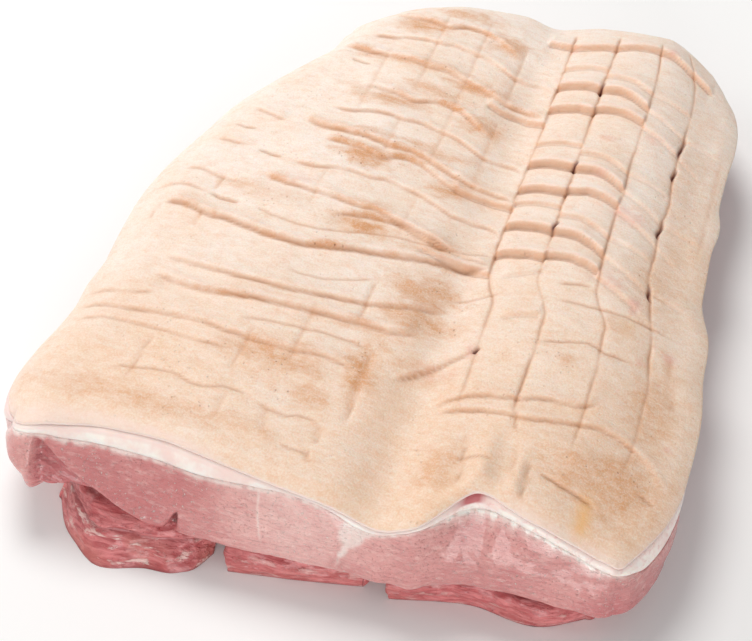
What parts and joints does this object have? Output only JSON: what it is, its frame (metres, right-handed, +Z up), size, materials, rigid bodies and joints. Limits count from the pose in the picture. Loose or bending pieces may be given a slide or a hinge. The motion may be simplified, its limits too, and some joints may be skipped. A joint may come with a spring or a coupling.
{
  "type": "pork belly slab",
  "caption": "Raw pork belly slab with a scored rind, a white fat layer, pale pink lean and darker rib-meat strips along its flat underside",
  "frame": {"origin": "middle of the bounding box in plan, on the resting plane under the rib-meat strips", "axes": "+X across the slab to the right of the front cut face, +Y away from the front cut face along the strips, +Z up through the rind"},
  "size_m": [0.2693, 0.3339, 0.0547],
  "materials": {
    "rind_and_fat": "pale cream skin over white fat, faintly moist",
    "pale_lean": "pale pink raw lean, moist with small glints",
    "rib_meat": "dark red raw meat with fine white marbling, moist"
  },
  "bodies": {
    "root": {"fat_cap": "rind_and_fat", "pink_lean": "pale_lean", "rib_meat_left": "rib_meat", "rib_meat_middle": "rib_meat", "rib_meat_right": "rib_meat"}
  },
  "joints": []
}
